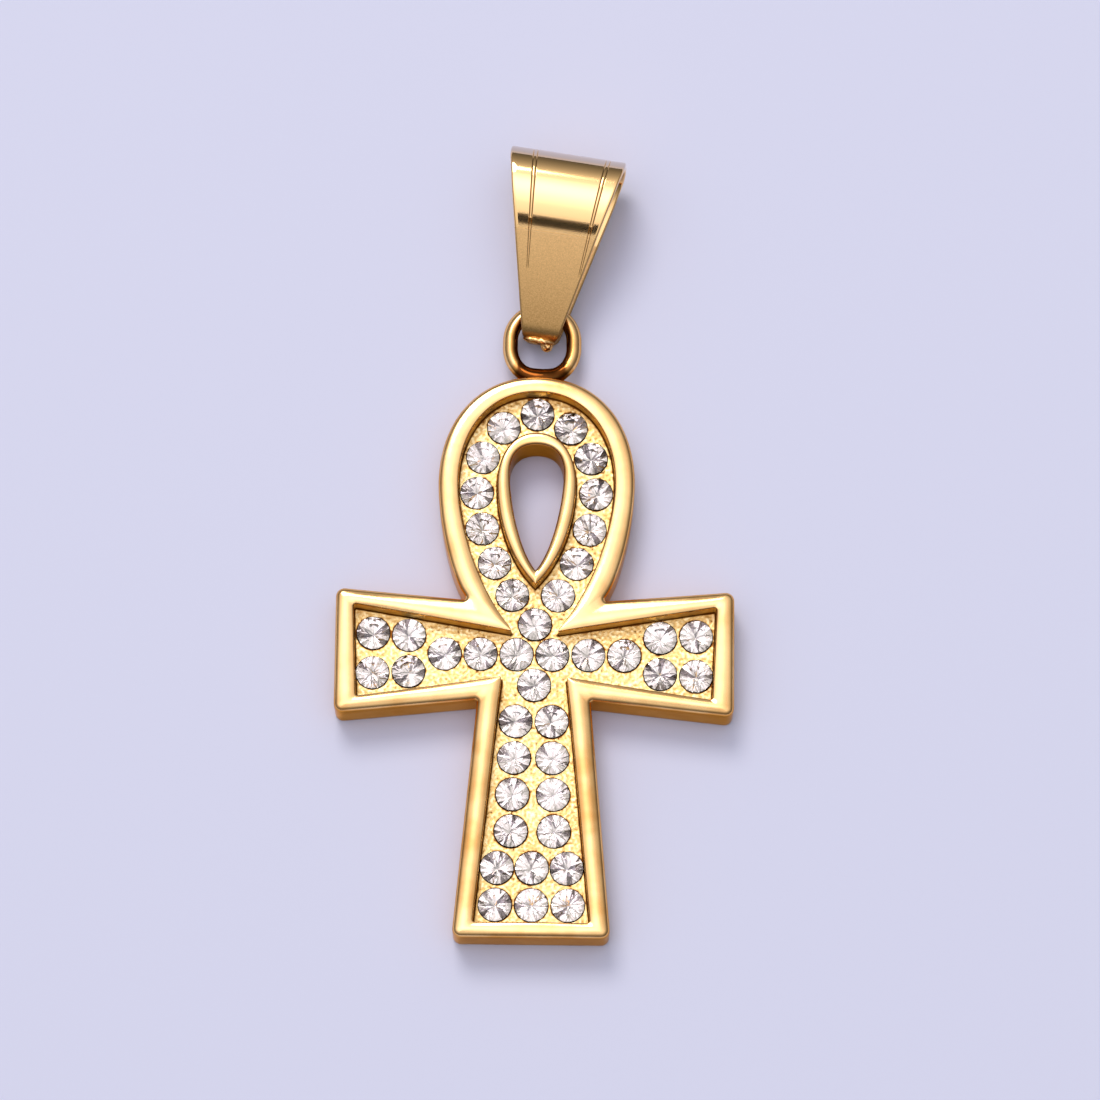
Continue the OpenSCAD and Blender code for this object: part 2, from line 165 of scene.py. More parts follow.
# %% [markdown]
# ## The outlines of the casting
#
# These are the same outlines that the solid was cut from. The span, the length and the thickness are
# read off the loaded body, so they can't drift from it. What the box of a body can't tell, such as the
# width of a rim, is written here once in millimetres.

# %% Outer outline, sunk floor and teardrop hole
SPAN = body_high[0] - body_low[0]
STEM_END = body_low[1]
TOP = body_high[2]
RECESS_DEPTH = 1.2
FLOOR = TOP - RECESS_DEPTH
LOOP_TOP = 15.4
LOOP_WIDE_Y = 9.4
LOOP_HALF = 5.325
ARM_END_HALF = 3.45
ARMPIT = (3.65, 2.85)
STEM_ROOT = (3.05, -2.65)
STEM_FOOT_X = 4.225
RIM_TOP, RIM_SIDE, RIM_ARM_END, RIM_ARM, RIM_FOOT = 0.9, 1.07, 1.05, 0.9, 0.8
ARM_END_LEAN = 0.22
NECK = (1.225, 1.12)
FLOOR_ROOT = (1.77, -1.4)
FLOOR_FOOT_X = 3.125
HOLE_TOP, HOLE_TIP, HOLE_HALF = 11.55, 4.5, 1.475
HOLE_RIM, HOLE_RIM_TIP = 0.66, 0.8
HOLE_WIDE_SHARE = 0.23        # how far down the hole it is widest
CORNER_R, PIT_R, FLOOR_CORNER_R, FLOOR_PIT_R = 0.45, 0.12, 0.14, 0.04
OUTER_BENDS = (0.62, 0.57, 0.29, 0.62, 0.20)      # handles of a loop's two bends, as shares of its size
FLOOR_BENDS = (0.62, 0.57, 0.25, 0.70, 0.33)
HOLE_BENDS = (0.66, 0.64, 0.25, 0.66, 0.22)
HOLE_RIM_BENDS = (0.62, 0.57, 0.35, 0.68, 0.25)

ARM_STEPS, END_STEPS, STEM_STEPS, FOOT_STEPS = 14, 12, 24, 8


def cross_outline(loop, pit, pit_r, arm_top, arm_low, root, foot, corner_r):
    foot_middle = (0, foot[1])
    corners = [
        loop[:-4],
        rounded(loop[-5], pit, arm_top, pit_r),
        rounded(pit, arm_top, arm_low, corner_r),
        rounded(arm_top, arm_low, root, corner_r),
        rounded(arm_low, root, foot, pit_r),
        rounded(root, foot, foot_middle, corner_r),
        np.array([foot_middle], float),
    ]
    return mirrored(joined(corners, [0, ARM_STEPS, END_STEPS, ARM_STEPS, STEM_STEPS, FOOT_STEPS, 0]))


outer = cross_outline(
    half_loop(LOOP_HALF, LOOP_TOP, LOOP_WIDE_Y, ARMPIT, OUTER_BENDS), ARMPIT, PIT_R,
    (SPAN / 2, ARM_END_HALF), (SPAN / 2, -ARM_END_HALF), STEM_ROOT, (STEM_FOOT_X, STEM_END), CORNER_R)
floor_x = SPAN / 2 - RIM_ARM_END
floor_edge = cross_outline(
    half_loop(LOOP_HALF - RIM_SIDE, LOOP_TOP - RIM_TOP, LOOP_WIDE_Y, NECK, FLOOR_BENDS), NECK, FLOOR_PIT_R,
    (floor_x + ARM_END_LEAN / 2, ARM_END_HALF - RIM_ARM),
    (floor_x - ARM_END_LEAN / 2, RIM_ARM - ARM_END_HALF),
    FLOOR_ROOT, (FLOOR_FOOT_X, STEM_END + RIM_FOOT), FLOOR_CORNER_R)
hole_wide_y = HOLE_TOP - HOLE_WIDE_SHARE * (HOLE_TOP - HOLE_TIP)
hole = mirrored(np.vstack([
    half_loop(HOLE_HALF, HOLE_TOP, hole_wide_y, (0, HOLE_TIP), HOLE_BENDS), [(0, HOLE_TIP)]]))
hole_rim = mirrored(np.vstack([
    half_loop(HOLE_HALF + HOLE_RIM, HOLE_TOP + HOLE_RIM, LOOP_WIDE_Y, (0, HOLE_TIP - HOLE_RIM_TIP),
        HOLE_RIM_BENDS), [(0, HOLE_TIP - HOLE_RIM_TIP)]]))
print("outline points:", len(outer), len(floor_edge), "hole points:", len(hole), len(hole_rim))

# %% [markdown]
# ## Meshes from rings
#
# The casting's walls and rims are rings of points, one above or inside the other, with faces between
# them. Each ring carries a painted shade from 0 on the crest to 1 in the crease, where the light falls
# least and the plating is drawn brown. The finish reads that shade later.

# %% A mesh under construction
class Shape:
    """Points, faces and shades of a mesh that grows piece by piece, in millimetres."""

    def __init__(self):
        self.points, self.shades, self.faces, self.slots = [], [], [], []
        self.count = 0

    def add(self, points, shade):
        points = np.asarray(points, float)
        first = self.count
        self.points.append(points)
        self.shades.append(np.broadcast_to(np.asarray(shade, float), (len(points),)))
        self.count += len(points)
        return np.arange(first, self.count)

    def face(self, corners, slot=0):
        self.faces.append([int(c) for c in corners])
        self.slots.append(slot)

    def skin(self, ring_a, ring_b, slot=0, closed=True):
        last = len(ring_a) if closed else len(ring_a) - 1
        for i in range(last):
            j = (i + 1) % len(ring_a)
            self.face((ring_a[i], ring_a[j], ring_b[j], ring_b[i]), slot)

    def build(self, name, materials):
        mesh = bpy.data.meshes.new(name)
        mesh.from_pydata([tuple(p) for p in np.vstack(self.points) * MM], [], self.faces)
        mesh.polygons.foreach_set("material_index", self.slots)
        shade = mesh.attributes.new("shade", "FLOAT", "POINT")
        shade.data.foreach_set("value", np.concatenate(self.shades))
        for material in materials:
            mesh.materials.append(material)
        body = bmesh.new()
        body.from_mesh(mesh)
        bmesh.ops.remove_doubles(body, verts=body.verts, dist=2e-4 * MM)
        bmesh.ops.dissolve_degenerate(body, edges=body.edges, dist=1e-4 * MM)
        bmesh.ops.recalc_face_normals(body, faces=body.faces)
        body.to_mesh(mesh)
        body.free()
        mesh.shade_smooth()
        mesh.set_sharp_from_angle(angle=math.radians(50))
        piece = bpy.data.objects.new(name, mesh)
        bpy.context.scene.collection.objects.link(piece)
        print(name, "has", sum(len(p.vertices) - 2 for p in mesh.polygons), "triangles")
        return piece


def lifted(path, z):
    return np.column_stack([path, np.broadcast_to(z, len(path))])


# %% [markdown]
# ## Materials
#
# A material starts from what the real one is. Colours are written as the hex values that a screen shows
# and one function turns them to linear light. One more function adds a node, sets it and links it.

# %% Colour and node helpers
def linear(hex_value):
    channels = [int(hex_value[i:i + 2], 16) / 255 for i in (1, 3, 5)]
    return (*[c / 12.92 if c <= 0.04045 else ((c + 0.055) / 1.055) ** 2.4 for c in channels], 1.0)


def add_node(tree, kind, settings=None, **links):
    """Adds a node. settings sets its properties and sockets, links joins sockets to other outputs."""
    node = tree.nodes.new(kind)
    for key, value in (settings or {}).items():
        if isinstance(key, int) or key in node.inputs:
            node.inputs[key].default_value = value
        else:
            setattr(node, key, value)
    for key, source in links.items():
        socket = node.inputs[int(key[1:])] if key[1:].isdigit() else node.inputs[key.replace("_", " ")]
        tree.links.new(source, socket)
    return node


def ramp(tree, source, stops, interpolation="EASE"):
    node = add_node(tree, "ShaderNodeValToRGB", None, Fac=source)
    node.color_ramp.interpolation = interpolation
    elements = node.color_ramp.elements
    while len(elements) < len(stops):
        elements.new(0.5)
    for element, (place, colour) in zip(elements, stops):
        element.position = place
        element.color = linear(colour) if isinstance(colour, str) else (*colour, 1)
    return node.outputs["Color"]


def new_material(name):
    material = bpy.data.materials.new(name)
    material.use_nodes = True
    tree = material.node_tree
    tree.nodes.clear()
    output = add_node(tree, "ShaderNodeOutputMaterial")
    surface = add_node(tree, "ShaderNodeBsdfPrincipled")
    tree.links.new(surface.outputs[0], output.inputs["Surface"])
    place = add_node(tree, "ShaderNodeTexCoord").outputs["Object"]
    return material, tree, surface, place


# %% [markdown]
# ### Polished gold plate
#
# The casting is brass, polished on a wheel and flash-plated with gold. Metal takes its colour from its
# reflections, so the base colour is the tint of a mirror: pale gold on the crest, and deeper and browner
# where shade and reflections of the darker room are painted on. Hand polishing leaves shallow waves a
# little over half a millimetre long, and they break the reflections up. The strap is sheet instead:
# brushed satin on its legs and polished on its roll.

# %% Gold, polished
# The deep and brown golds are reached through painted shade, with a little random wear added
PALE_GOLD, DEEP_GOLD, BROWN_GOLD = "#fdce8e", "#dfa056", "#5f3413"
WEAR_MM = 1.6                 # size of the patches that are worn a little unevenly


def gold_plate(name, stops, roughness, wave_mm, wave_depth_mm, grain_mm, grain_depth_mm):
    material, tree, surface, place = new_material(name)
    surface.inputs["Metallic"].default_value = 1.0
    surface.inputs["Specular Tint"].default_value = linear("#f0cc98")
    shade = add_node(tree, "ShaderNodeAttribute", {"attribute_name": "shade"}).outputs["Fac"]
    wave = add_node(tree, "ShaderNodeTexNoise", {"Scale": 1 / (wave_mm * MM), "Detail": 1.0}, Vector=place)
    wear = add_node(tree, "ShaderNodeTexNoise", {"Scale": 1 / (WEAR_MM * MM), "Detail": 2.0}, Vector=place)
    uneven = add_node(tree, "ShaderNodeMapRange",
        {"From Min": 0.35, "From Max": 0.7, "To Min": 0.0, "To Max": 0.22}, Value=wear.outputs["Fac"])
    shade = add_node(tree, "ShaderNodeMath", {"operation": "ADD"}, _0=shade, _1=uneven.outputs[0])
    tree.links.new(ramp(tree, shade.outputs[0], stops), surface.inputs["Base Color"])
    grain = add_node(tree, "ShaderNodeTexNoise", {"Scale": 1 / (grain_mm * MM), "Detail": 2.0},
        Vector=place)
    rough = add_node(tree, "ShaderNodeMapRange", {"To Min": roughness[0], "To Max": roughness[1]},
        Value=wave.outputs["Fac"])
    tree.links.new(rough.outputs["Result"], surface.inputs["Roughness"])
    waves = add_node(tree, "ShaderNodeBump", {"Distance": wave_depth_mm * MM, "Strength": 1.0},
        Height=wave.outputs["Fac"])
    grains = add_node(tree, "ShaderNodeBump", {"Distance": grain_depth_mm * MM, "Strength": 1.0},
        Height=grain.outputs["Fac"], Normal=waves.outputs["Normal"])
    tree.links.new(grains.outputs["Normal"], surface.inputs["Normal"])
    return material


polished = gold_plate("polished gold plate",
    [(0.0, PALE_GOLD), (0.45, DEEP_GOLD), (1.0, BROWN_GOLD)], (0.13, 0.22), 0.6, 0.004, 0.06, 0.0004)
# The sandy plate's deeper and brown stops are reached through painted shade along the walls, at the seats
# and in the grain's low spots
sandy = gold_plate("sand-cast gold plate",
    [(0.0, "#fdeab4"), (0.6, "#dfb871"), (1.0, "#764619")], (0.34, 0.5), 0.3, 0.01, 0.06, 0.01)
# Oxide in the seats together with painted shade, darker going down into each seat
seat_oxide_and_shade = gold_plate("oxidised and shaded gold in the seats",
    [(0.0, "#a87038"), (1.0, "#5a3418")], (0.5, 0.65), 0.2, 0.01, 0.05, 0.002)

# %% Gold strap, satin on its legs and polished on its roll
STRAP_GRAIN_MM = 0.07


def gold_strap():
    material, tree, surface, place = new_material("gold-plated sheet")
    surface.inputs["Metallic"].default_value = 1.0
    shade = add_node(tree, "ShaderNodeAttribute", {"attribute_name": "shade"}).outputs["Fac"]
    satin = add_node(tree, "ShaderNodeAttribute", {"attribute_name": "satin"}).outputs["Fac"]
    grain = add_node(tree, "ShaderNodeTexNoise", {"Scale": 1 / (STRAP_GRAIN_MM * MM), "Detail": 3.0},
        Vector=place)
    speck = add_node(tree, "ShaderNodeMapRange",
        {"From Min": 0.3, "From Max": 0.7, "To Min": -0.08, "To Max": 0.08}, Value=grain.outputs["Fac"])
    speck = add_node(tree, "ShaderNodeMath", {"operation": "MULTIPLY_ADD"},
        _0=speck.outputs[0], _1=satin, _2=shade)
    # Shade 0 is the pale painted reflection of the paper at the top of the roll; the stops above the pale
    # gold carry painted shade
    stops = [(0.0, "#d8c6b4"), (0.1, PALE_GOLD), (0.6, "#a6804c"), (1.0, "#5d3a18")]
    colour = ramp(tree, speck.outputs[0], stops, "LINEAR")
    tree.links.new(colour, surface.inputs["Base Color"])
    rough = add_node(tree, "ShaderNodeMapRange", {"To Min": 0.07, "To Max": 0.3}, Value=satin)
    tree.links.new(rough.outputs["Result"], surface.inputs["Roughness"])
    depth = add_node(tree, "ShaderNodeMapRange", {"To Min": 0.0003 * MM, "To Max": 0.003 * MM}, Value=satin)
    grains = add_node(tree, "ShaderNodeBump", {"Strength": 1.0}, Height=grain.outputs["Fac"],
        Distance=depth.outputs["Result"])
    tree.links.new(grains.outputs["Normal"], surface.inputs["Normal"])
    return material


strap_gold = gold_strap()

# %% [markdown]
# ## The casting
#
# The outer wall rises from a softly rounded back edge, rolls over the rim's crest and falls to the sunk
# floor. In a real mould every edge is rounded a little and the crest is domed, which is what draws the
# long bright lines of a polished rim. A bevel on the solid would give one width all round, so the rim
# is lofted from the outer outline to the inner one instead and is wide where they part. The outer edge
# is rounded more than the inner ones, which the polishing wheel can't follow.

# %% Walls and rims
BACK_SOFT, FOOT_FILLET = 0.2, 0.05
OUTER_R, INNER_R, RIDGE_R, HOLE_R = 0.3, 0.09, 0.14, 0.17
DOME_TILT, DOME_LIMIT = math.radians(12), 0.07
EDGE_SHADE, STEM_SHADE = 0.35, 0.12
# Painted shade in the crease at the floor's edge; the back and its rounded edges are drawn a little deeper
CREASE_SHADE, BACK_SHADE, HOLE_BACK_SHADE = 0.9, 0.3, 0.4
STEM_FADE_Y, STEM_FADE = -3.4, 2.0        # where the painted shade on the stem's sides begins, and over what length
FOOT_CLEAR, FOOT_FADE = 0.9, 0.7          # how far above the foot it ends, and over what length
QUARTER = np.linspace(0, math.pi / 2, 6)
ROUNDING = np.linspace(math.pi / 2, DOME_TILT, 8)
ACROSS = np.linspace(0, 1, 10)

casting = Shape()


def less_polished(points):
    """Painted shade along the stem's two sides, where their plate is drawn deeper in colour."""
    down = np.clip((STEM_FADE_Y - points[:, 1]) / STEM_FADE, 0, 1)
    above_foot = np.clip((points[:, 1] - STEM_END - FOOT_CLEAR) / FOOT_FADE, 0, 1)
    return STEM_SHADE * down * above_foot


def rim_between(path_a, side_a, radius_a, feet_a, path_b, side_b, radius_b, feet_b):
    """Rings up one wall, over a domed crest and down the other wall."""
    soft_a = soft_radius(path_a, side_a, radius_a)
    soft_b = soft_radius(path_b, side_b, radius_b)
    edge_a = moved_in(path_a, side_a * soft_a * (1 - math.sin(DOME_TILT)))
    edge_b = moved_in(path_b, side_b * soft_b * (1 - math.sin(DOME_TILT)))
    dome = np.minimum(np.linalg.norm(edge_a - edge_b, axis=1) * math.tan(DOME_TILT) / 4, DOME_LIMIT)
    rings = []
    for path, side, soft, feet in ((path_a, side_a, soft_a, feet_a), (path_b, side_b, soft_b, feet_b)):
        wall = [casting.add(lifted(path, z), shade) for z, shade in feet]
        for angle in ROUNDING:
            ring = moved_in(path, side * soft * (1 - math.sin(angle)))
            z = TOP - dome - soft * (math.cos(DOME_TILT) - math.cos(angle))
            # Painted shade: the rounded edge darkens as it turns down towards the wall
            shade = EDGE_SHADE * ((angle - DOME_TILT) / (math.pi / 2 - DOME_TILT)) ** 2
            wall.append(casting.add(lifted(ring, z), np.maximum(shade, less_polished(ring))))
        rings.append(wall)
    crest = []
    for t in ACROSS[1:-1]:
        ring = edge_a + t * (edge_b - edge_a)
        crest.append(casting.add(lifted(ring, TOP - dome * (2 * t - 1) ** 2), less_polished(ring)))
    return rings[0] + crest + rings[1][::-1]


# Rings up a wall, as the height and the painted shade of each, darker near the rim's edge and deepest in the
# crease at the floor
outer_feet = [(BACK_SOFT + 0.1, 0.1), (TOP - 1.0, 0.2), (TOP - 0.5, 0.45)]
floor_feet = [(FLOOR + FOOT_FILLET, CREASE_SHADE), (FLOOR + 0.2, 0.45), (TOP - 0.35, 0.3), (TOP - 0.24, 0.6)]
hole_feet = [(BACK_SOFT, 0.6), (BACK_SOFT + 0.1, 0.6), (TOP - 0.4, 0.5)]

back_rings = []
for a in QUARTER:
    ring = moved_in(outer, BACK_SOFT * (1 - math.sin(a)))
    back_rings.append(casting.add(lifted(ring, BACK_SOFT * (1 - math.cos(a))), BACK_SHADE))
floor_ring = casting.add(lifted(moved_in(floor_edge, FOOT_FILLET), FLOOR), CREASE_SHADE)
body_rim = rim_between(outer, 1, OUTER_R, outer_feet, floor_edge, -1, INNER_R, floor_feet)
body_rings = back_rings + body_rim + [floor_ring]

tear_foot = casting.add(lifted(moved_in(hole_rim, -FOOT_FILLET), FLOOR), CREASE_SHADE)
tear_back = []
for a in QUARTER:
    ring = moved_in(hole, -BACK_SOFT * (1 - math.cos(a)))
    tear_back.append(casting.add(lifted(ring, BACK_SOFT * (1 - math.sin(a))), HOLE_BACK_SHADE))
tear_rim = rim_between(hole_rim, 1, RIDGE_R, floor_feet, hole, -1, HOLE_R, hole_feet)
tear_rings = [tear_foot] + tear_rim + tear_back

WALL_RINGS = len(floor_feet)          # these rings of a wall next to the floor are as sandy as the floor
body_last = len(body_rings)
for rings, first, last in ((body_rings, body_last - 1 - WALL_RINGS, body_last), (tear_rings, 0, WALL_RINGS)):
    for number, (a, b) in enumerate(zip(rings, rings[1:])):
        casting.skin(a, b, 1 if first <= number < last else 0)

# %% [markdown]
# ### The sunk floor
#
# The floor is as the mould left it: sandy, with a crinkled grain about a tenth of a millimetre across.
# It has to meet the walls, the teardrop and 43 seats exactly. A constrained triangulation does that: it
# takes the outlines as edges that must stay, and fills the rest from a jittered grid of points, which
# are then raised and lowered by a noise.

# %% Floor with its seats
stone_names = sorted(name for name in frame["nodes"] if name.startswith("stone"))
stone_places = []
for name in stone_names:
    low, high = (np.array(corner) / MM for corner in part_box(name))
    stone_places.append(((low + high) / 2)[:2])
stone_places = np.array(stone_places)
SEAT_R, SEAT_SIDES, SEAT_DEPTH = 0.93, 32, 0.85
GRID, JITTER, CRINKLE, CRINKLE_MM = 0.075, 0.3, 0.026, 0.15
# Rings down a seat, as the share of its radius, the depth and the shade of each: oxide and painted shade,
# darker going down
SEAT_RINGS = ((1, 0, 0.2), (0.985, 0.12, 0.5), (0.97, 0.3, 0.9), (0.5, SEAT_DEPTH, 1.0))


def inside(points, path):
    found = np.zeros(len(points), bool)
    for a, b in zip(path, np.roll(path, -1, 0)):
        crosses = (a[1] > points[:, 1]) != (b[1] > points[:, 1])
        at = (b[0] - a[0]) * (points[:, 1] - a[1]) / (b[1] - a[1] + 1e-12) + a[0]
        found ^= crosses & (points[:, 0] < at)
    return found


def clear_of_seats(points, radius):
    gaps = np.linalg.norm(points[:, None] - stone_places[None], axis=2).min(1)
    return gaps > radius


def triangulated(loops, loose):
    """Triangles over closed loops of points and loose points, as points and corner numbers."""
    coordinates = [Vector(p) for loop in loops for p in loop] + [Vector(p) for p in loose]
    edges, first = [], 0
    for loop in loops:
        edges += [(first + i, first + (i + 1) % len(loop)) for i in range(len(loop))]
        first += len(loop)
    points, _, faces, *_ = delaunay_2d_cdt(coordinates, edges, [], 1, 1e-6)
    return np.array([tuple(p) for p in points]), np.array(faces)


turn = np.arange(SEAT_SIDES) * 2 * math.pi / SEAT_SIDES
seat_circle = SEAT_R * np.stack([np.cos(turn), np.sin(turn)], 1)
floor_loop = moved_in(floor_edge, FOOT_FILLET)
tear_loop = moved_in(hole_rim, -FOOT_FILLET)
chance = np.random.default_rng(7)
xs = np.arange(floor_loop[:, 0].min(), floor_loop[:, 0].max(), GRID)
ys = np.arange(floor_loop[:, 1].min(), floor_loop[:, 1].max(), GRID)
grid = np.stack(np.meshgrid(xs, ys), -1).reshape(-1, 2)
grid = grid + chance.uniform(-JITTER, JITTER, grid.shape) * GRID
grid = grid[inside(grid, moved_in(floor_loop, 0.05)) & ~inside(grid, moved_in(tear_loop, -0.05))]
grid = grid[clear_of_seats(grid, SEAT_R + 0.04)]
floor_points, floor_faces = triangulated(
    [floor_loop, tear_loop] + [centre + seat_circle for centre in stone_places], grid)
middles = floor_points[floor_faces].mean(1)
keep = inside(middles, floor_loop) & ~inside(middles, tear_loop) & clear_of_seats(middles, SEAT_R * 0.995)
floor_faces = floor_faces[keep]
is_loose = clear_of_seats(floor_points, SEAT_R + 0.02)
is_loose &= inside(floor_points, moved_in(floor_loop, 0.02))
is_loose &= ~inside(floor_points, moved_in(tear_loop, -0.02))
heights = np.array([noise.fractal(Vector((*(p / CRINKLE_MM), 0)), 1.0, 2.0, 2) for p in floor_points])
floor_z = FLOOR + np.where(is_loose, CRINKLE * heights, 0)
# Painted shade: the grain's low spots are darker, and the floor is darkest where it meets the walls, the
# teardrop and the seats
floor_shade = np.where(is_loose, 0.3 - 0.75 * heights, 1.0)
floor_ids = casting.add(np.column_stack([floor_points, floor_z]), floor_shade)
for a, b, c in floor_ids[floor_faces]:
    casting.face((a, b, c), 1)
for centre in stone_places:
    rings = [casting.add(lifted(centre + seat_circle * scale, FLOOR - depth), shade)
        for scale, depth, shade in SEAT_RINGS]
    for a, b in zip(rings, rings[1:]):
        casting.skin(a, b, 2)
    casting.face(rings[-1], 2)

# %% The flat back
back_outer = moved_in(outer, BACK_SOFT)
back_hole = moved_in(hole, -BACK_SOFT)
back_points, back_faces = triangulated([back_outer, back_hole], [])
middles = back_points[back_faces].mean(1)
back_faces = back_faces[inside(middles, back_outer) & ~inside(middles, back_hole)]
back_ids = casting.add(lifted(back_points, 0.0), BACK_SHADE)
for a, b, c in back_ids[back_faces]:
    casting.face((c, b, a))

# %% [markdown]
# ### The eyelet
#
# The eyelet is a wire bent to an oval and soldered to the loop, so its sides swell where the solder has
# crept up them. A tube along the oval would do, but a tube in mesh code can swell just there, and can
# have the small dents that the pliers left.

# %% Oval wire with its solder
EYELET_WIRE_R = 0.41
EYELET_TOP = body_high[1]
EYELET_SIDE = 0.2
EYELET_Z = joint["pos_m"][2] / MM
EYELET_BEND = 1.74
EYELET_STRAIGHT = 0.4
SWELL, SWELL_REACH = 0.5, 0.42
DENTS = [((1.62, 16.75, 1.62), 0.13, 0.05), ((1.42, 16.35, 1.75), 0.12, 0.05),
    ((1.8, 17.15, 1.5), 0.1, 0.03)]           # middle, reach and depth of each
RING_STEPS, WIRE_SIDES = 96, 20
centre_y = EYELET_TOP - EYELET_WIRE_R - EYELET_BEND - EYELET_STRAIGHT / 2
turns = np.arange(RING_STEPS) * 2 * math.pi / RING_STEPS + math.pi / RING_STEPS
middle_line = np.stack([np.sin(turns), np.cos(turns)], 1)
straight = np.stack([0 * turns, np.sign(np.cos(turns)) * EYELET_STRAIGHT / 2], 1)
wire_path = middle_line * EYELET_BEND + straight
wire_path = wire_path + (EYELET_SIDE, centre_y)
gap_to_loop = np.array([np.linalg.norm(outer - p, axis=1).min() for p in wire_path])
gap_to_loop = np.where(inside(wire_path, outer), 0, gap_to_loop)
wire_r = EYELET_WIRE_R * (1 + SWELL * np.exp(-((gap_to_loop / SWELL_REACH) ** 2)))
wire_rings = []
for p, out, r, gap in zip(wire_path, middle_line, wire_r, gap_to_loop):
    around = np.arange(WIRE_SIDES) * 2 * math.pi / WIRE_SIDES
    ring = np.column_stack([p + r * np.cos(around)[:, None] * out, EYELET_Z + r * np.sin(around)])
    for spot, reach, depth in DENTS:
        away = np.linalg.norm(ring - spot, axis=1)
        inward = np.array([*p, EYELET_Z]) - ring
        ring = ring + inward / r * (depth * np.exp(-((away / reach) ** 2)))[:, None]
    # Painted shade on the wire's inner side and on its lower arc next to the loop
    inner_face_shade = np.clip(0.15 - np.cos(around), 0, 1)
    low_arc_shade = np.clip((-0.55 - out[1]) / 0.2, 0, 1)
    shade = np.clip(1.1 * inner_face_shade + (0.9 + 0.5 * inner_face_shade) * low_arc_shade, 0, 1)
    wire_rings.append(casting.add(ring, shade))
for a, b in zip(wire_rings, wire_rings[1:] + wire_rings[:1]):
    casting.skin(a, b)
ankh = casting.build("ankh_casting", [polished, sandy, seat_oxide_and_shade])

# %% [markdown]
# ## The stones
#
# Each stone is a chaton: a pointed-back round crystal with a silver foil fired onto its pavilion. Light
# goes in through the crown, bounces between the foiled facets and comes out as the bright and dark
# wedges that make it sparkle. So the crown is glass and the pavilion is a mirror, and the dark wedges
# are painted reflections: a few facets and the culet get a dark tone, the rest a lighter tone that
# differs at random. Eight stones are cut a little differently in mesh code, and Geometry Nodes pick one
# for each of the 43 points and turn it its own way, as a setter would leave it.

# %% Cut the stones
FACETS = 8
STONE_R, TABLE_R, GIRDLE, CROWN, PAVILION, CULET_R = 0.89, 0.5, 0.06, 0.2, 0.74, 0.04
LOW_JITTER, CULET_JITTER, STAR_JITTER = 0.012, 0.012, 0.004
STAR_SHARE, LOW_SHARE = 0.45, 0.3     # where the star's points and the pavilion's break lie, as shares
CUTS = 8
# Painted reflections: the share of pavilion facets toned dark, their tone, and the culet's dark tone
PAINTED_DARK_SHARE, PAINTED_DARK_TONE, PAINTED_CULET_TONE = 0.16, 0.15, 0.3


def foiled_crystal():
    crystal, tree, surface, _ = new_material("clear lead crystal")
    surface.inputs["Base Color"].default_value = linear("#ffffff")
    surface.inputs["Roughness"].default_value = 0.0
    surface.inputs["IOR"].default_value = 1.57
    surface.inputs["Transmission Weight"].default_value = 1.0
    foil, tree, surface, _ = new_material("silver foil on crystal")
    tone = add_node(tree, "ShaderNodeAttribute", {"attribute_name": "tone"}).outputs["Fac"]
    tree.links.new(ramp(tree, tone, [(0.0, "#3a2e2c"), (0.3, "#a29a98"), (1.0, "#fbf6f0")], "LINEAR"),
        surface.inputs["Base Color"])
    surface.inputs["Metallic"].default_value = 1.0
    surface.inputs["Roughness"].default_value = 0.08
    return crystal, foil


def ring_of(radius, z, start, count):
    angles = start + np.arange(count) * 2 * math.pi / count
    return np.column_stack([radius * np.cos(angles), radius * np.sin(angles), np.full(count, z)])


